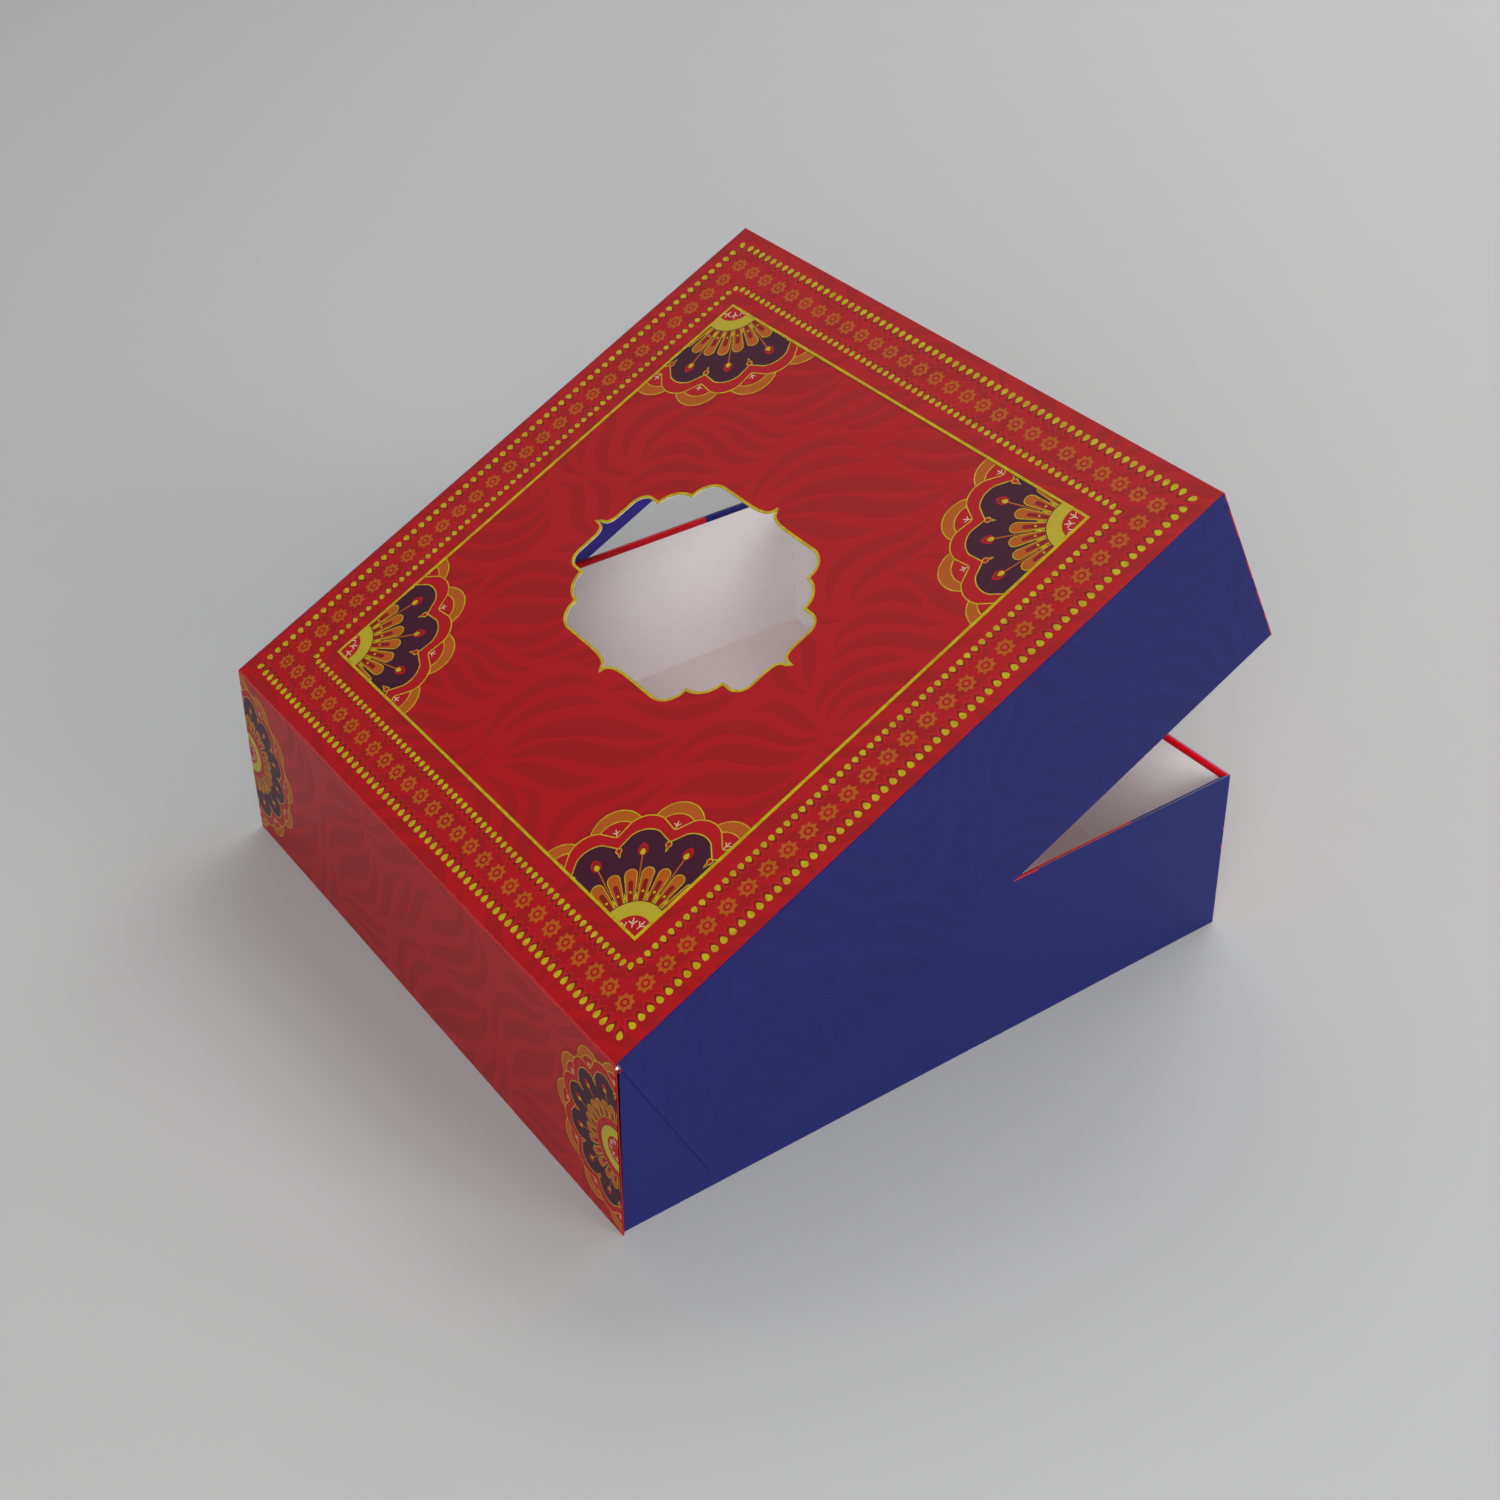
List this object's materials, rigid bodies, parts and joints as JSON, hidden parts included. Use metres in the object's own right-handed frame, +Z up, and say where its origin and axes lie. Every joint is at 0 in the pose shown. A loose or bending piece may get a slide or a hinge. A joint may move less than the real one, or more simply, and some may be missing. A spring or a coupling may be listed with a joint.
{
  "type": "sweet box",
  "caption": "Square folding paperboard sweet box with rolled double walls and a hinged full-depth lid with a cusped film window.",
  "frame": {"origin": "centre of the tray's base, on the face that rests on the table", "axes": "+Z up, -Y towards the front where the lid opens, +Y towards the hinge fold, +X to the right seen from the front"},
  "size_m": [0.229, 0.2337, 0.1655],
  "materials": {
    "red_print": "red offset print under a satin aqueous coat on white paperboard",
    "blue_print": "dark blue offset print under a satin aqueous coat on white paperboard",
    "edge_print": "bright red print on the rolled top edges, navy towards the front of the side edges",
    "bare_board": "uncoated white inner side of the paperboard",
    "clear_film": "clear thin film"
  },
  "bodies": {
    "tray": {"tray_floor": "bare_board", "rear_wall": "red_print", "hinge_fold": "red_print", "front_wall_outer": "red_print", "front_wall_roll": "edge_print", "front_wall_inner": "bare_board", "left_wall_outer": "blue_print", "left_wall_roll": "edge_print", "left_wall_inner": "bare_board", "right_wall_outer": "blue_print", "right_wall_roll": "edge_print", "right_wall_inner": "bare_board", "left_rear_tab": "bare_board", "right_rear_tab": "bare_board", "left_front_tab": "bare_board", "right_front_tab": "bare_board"},
    "lid": {"lid_panel": "red_print", "lid_front_flap": "red_print", "lid_front_hem": "red_print", "lid_left_flap": "blue_print", "lid_left_hem": "blue_print", "lid_right_flap": "blue_print", "lid_right_hem": "blue_print", "lid_left_tab": "bare_board", "lid_right_tab": "bare_board", "window_film": "clear_film"}
  },
  "joints": [
    {"name": "lid_fold", "type": "hinge", "parent": "tray", "child": "lid", "pos_m": [0, 0.11245, 0.0638], "axis": [-1, 0, 0], "range_deg": [-26.4, 153.6]}
  ]
}
